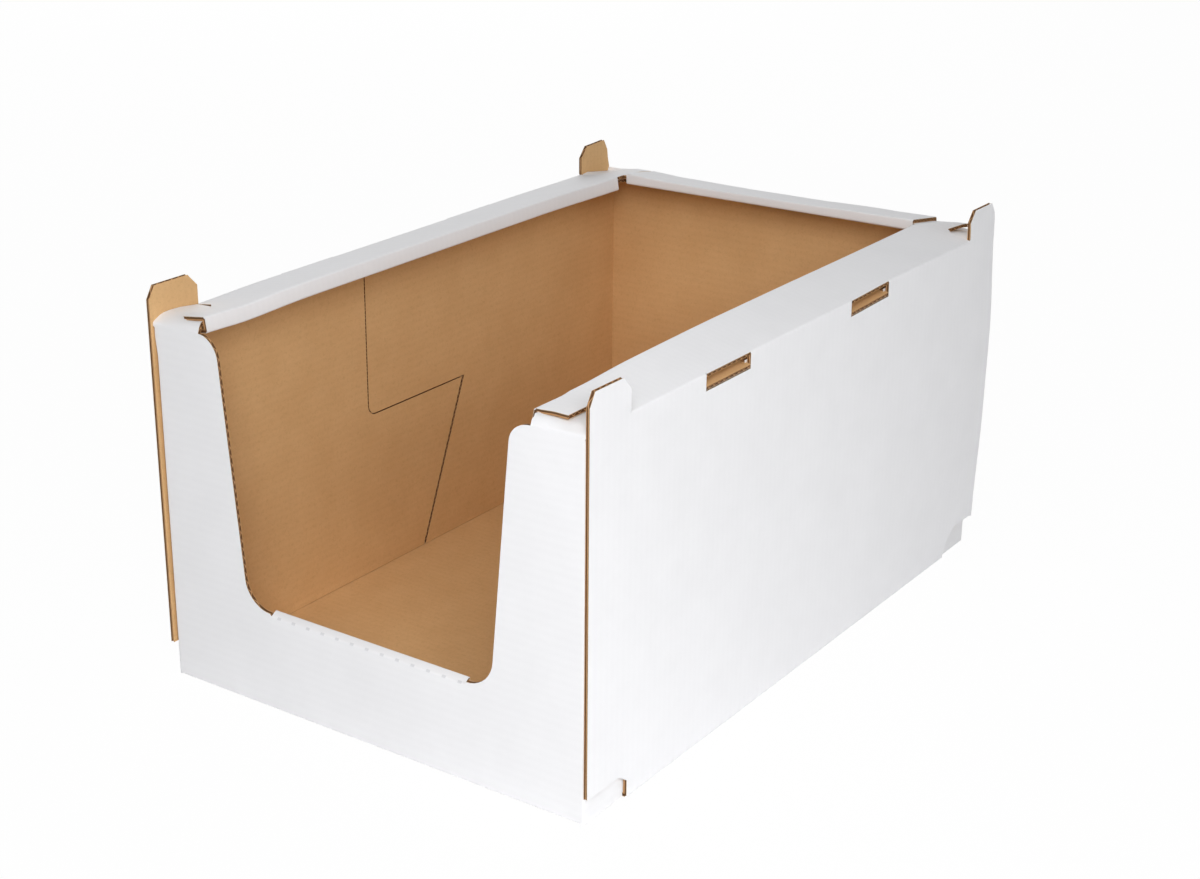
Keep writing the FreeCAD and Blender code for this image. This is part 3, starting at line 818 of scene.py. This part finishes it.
on_sill = math_node(tree, "LESS_THAN", math_node(tree, "ABSOLUTE", spot[0]), DENT_REACH)
for mask in (on_line, on_front, on_sill):
    dents_and_their_shade = math_node(tree, "MULTIPLY", dents_and_their_shade, mask)
# Painted shade: the white is darkened a little along the dents, as the shade that falls in them.
colour = blend(tree, dents_and_their_shade, colour, srgb(222, 222, 225))
height = relief(tree, flutes, 0.6, fibre, 0.35)
height = math_node(tree, "SUBTRACT", height, math_node(tree, "MULTIPLY", dents_and_their_shade, 3.0))
paint(tree, shader, colour, height, 0.25, 0.00012)

# Brown kraft inner liner, with darker fibres.
kraft, tree, shader = new_finish("kraft_liner", 0.8, 0.25)
fibre = use_group(tree, paper, Grain=1.0)
flutes = use_group(tree, washboard, Strength=1.0)
tone = ramp(tree, fibre["Clouds"], 0.3, 0.7, 0.0, 1.0)
colour = blend(tree, tone, srgb(217, 175, 124), srgb(223, 182, 131))
dark = ramp(tree, fibre["Fibres"], 0.5, 0.75, 0.0, 0.3)
colour = blend(tree, dark, colour, srgb(187, 144, 96))
lines = ramp(tree, flutes["Wave"], 0.0, 1.0, 0.0, 0.05)
colour = blend(tree, lines, colour, srgb(176, 130, 86))
paint(tree, shader, colour, relief(tree, flutes, 0.8, fibre, 0.4), 0.35, 0.00015)

# Cut edge: two liners with the wavy fluting between them, and painted shade where it is hollow.
WAVE_HEIGHT = 0.34
LINER_START = 0.385
cut_edge, tree, shader = new_finish("cut_edge", 0.9, 0.2)
fibre = use_group(tree, paper, Grain=1.0)
depth = node(tree, "Attribute", attribute_name="board_depth").outputs["Fac"]
from_middle = math_node(tree, "SUBTRACT", depth, 0.5)
wave = math_node(tree, "MULTIPLY", flute_wave(tree), WAVE_HEIGHT)
apart = math_node(tree, "ABSOLUTE", math_node(tree, "SUBTRACT", from_middle, wave))
web = ramp(tree, apart, 0.08, 0.18, 1.0, 0.0)
web_colour = blend(tree, fibre["Fibres"], srgb(178, 134, 92), srgb(212, 168, 122))
# Painted shade: the hollows between the flutes get a dark brown colour that stands in for the shade
# inside them.
fluting_and_painted_shade = blend(tree, web, srgb(104, 74, 48), web_colour)
inward = ramp(tree, depth, 0.3, 0.7, 0.0, 1.0)
liner = blend(tree, inward, srgb(216, 196, 170), srgb(196, 150, 104))
off_middle = math_node(tree, "ABSOLUTE", from_middle)
in_liner = ramp(tree, off_middle, LINER_START, LINER_START + 0.01, 0.0, 1.0)
paint(tree, shader, blend(tree, in_liner, fluting_and_painted_shade, liner), web, 0.5, 0.0006)

# The board's thickness, inward from the white face, with rounded white creases.
CREASE_RADIUS = 1.5
GROOVE_START = 0.32
GROOVE_SLOPE = 0.08
GROOVE_DEPTH = 0.6
for finish in (white, kraft, cut_edge):
    tray.data.materials.append(finish)
board = tray.modifiers.new("board", "SOLIDIFY")
board.thickness = BOARD * MM
board.offset = -1
board.use_even_offset = True
board.use_quality_normals = True
board.material_offset = 1
board.material_offset_rim = 2
board.shell_vertex_group = kraft_side.name
bpy.ops.object.modifier_apply(modifier=board.name)

depths = tray.data.attributes.new("board_depth", "FLOAT", "POINT")
for corner in tray.data.vertices:
    depths.data[corner.index].value = max(place.weight for place in corner.groups)
bpy.ops.object.mode_set(mode="EDIT")
bpy.ops.mesh.select_mode(type="EDGE")
bpy.ops.mesh.select_all(action="DESELECT")
mesh = bmesh.from_edit_mesh(tray.data)
for edge in mesh.edges:
    outside = all(face.material_index == 0 for face in edge.link_faces)
    edge.select_set(outside and edge.calc_face_angle(0) > math.radians(40))
mesh.select_flush_mode()
bmesh.update_edit_mesh(tray.data)
rounding = {"offset": CREASE_RADIUS * MM, "segments": 4, "profile": 0.5, "affect": "EDGES"}
bpy.ops.mesh.bevel(clamp_overlap=False, **rounding)
bpy.ops.mesh.select_mode(type="FACE")
bpy.ops.mesh.select_all(action="DESELECT")
tray.active_material_index = 2
bpy.ops.object.material_slot_select()
for width, drop in ((GROOVE_START, 0), (GROOVE_SLOPE, GROOVE_DEPTH)):
    bpy.ops.mesh.inset(thickness=width * MM, depth=-drop * MM, use_even_offset=False)
bpy.ops.mesh.select_all(action="DESELECT")
bpy.ops.object.mode_set(mode="OBJECT")
bpy.ops.object.shade_smooth_by_angle(angle=math.radians(35))
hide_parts("folded_tray")
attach(tray, "root")


# Studio: a white floor that keeps the tray's shadow, a plain white room, and soft light
# from four large panels, with a wide spot on the right front corner.
bpy.ops.object.select_all(action="DESELECT")
bpy.ops.mesh.primitive_plane_add(size=24, location=(0, 0, 0))
floor = bpy.context.object
floor.name = "studio_floor"
bpy.context.scene.view_settings.view_transform = "Standard"
bpy.context.scene.world = bpy.data.worlds.new("studio")


def bare_tree(owner):
    owner.use_nodes = True
    owner.node_tree.nodes.clear()
    return owner.node_tree


def seen_directly(tree):
    """One for what the camera sees itself or in a gloss."""
    rays = node(tree, "LightPath").outputs
    return math_node(tree, "MAXIMUM", rays["Is Camera Ray"], rays["Is Glossy Ray"])


floor_white = bpy.data.materials.new("studio_white")
tree = bare_tree(floor_white)
matt = node(tree, "BsdfDiffuse", {"Color": (0.95, 0.95, 0.95, 1)})
glow = node(tree, "Emission", {"Color": (1, 1, 1, 1), "Strength": 1.0})
seen = math_node(tree, "MULTIPLY", seen_directly(tree), 0.97)
both = node(tree, "MixShader", {0: seen, 1: matt.outputs[0], 2: glow.outputs[0]})
node(tree, "OutputMaterial", {0: both.outputs[0]})
floor.data.materials.append(floor_white)

tree = bare_tree(bpy.context.scene.world)
room = node(tree, "Background", {"Color": (1, 1, 1, 1), "Strength": 0.14})
backdrop = node(tree, "Background", {"Color": (1, 1, 1, 1), "Strength": 1.0})
both = node(tree, "MixShader", {0: seen_directly(tree), 1: room.outputs[0], 2: backdrop.outputs[0]})
node(tree, "OutputWorld", {0: both.outputs[0]})


def place_lamp(data, place, aim):
    item = bpy.data.objects.new(data.name, data)
    bpy.context.collection.objects.link(item)
    item.location = place
    item.rotation_euler = (Vector(aim) - Vector(place)).to_track_quat("-Z", "Y").to_euler()


def light_panel(name, place, aim, size, power):
    """Square panel of light, its place and size in metres and its power in watts."""
    data = bpy.data.lights.new(name, "AREA")
    data.shape = "RECTANGLE"
    data.size = data.size_y = size
    data.energy = power
    place_lamp(data, place, aim)


light_panel("key_panel", (1.0, -1.35, 1.15), (0, 0, 0.15), 0.8, 18)
light_panel("top_panel", (0.2, -1.3, 2.2), (0, 0, 0.2), 1.5, 12)
light_panel("side_panel", (3.5, 0.4, 1.2), (0, 0, 0.15), 2.5, 21)
light_panel("back_panel", (-2.4, 2.6, 1.6), (0, 0, 0.15), 2.5, 45)
low = bpy.data.lights.new("low_spot", "SPOT")
low.energy = 33
low.spot_size = math.radians(36)
low.spot_blend = 1
low.shadow_soft_size = 0.3
place_lamp(low, (1.6, -1.2, 0.8), (0.3, -0.3, -0.1))
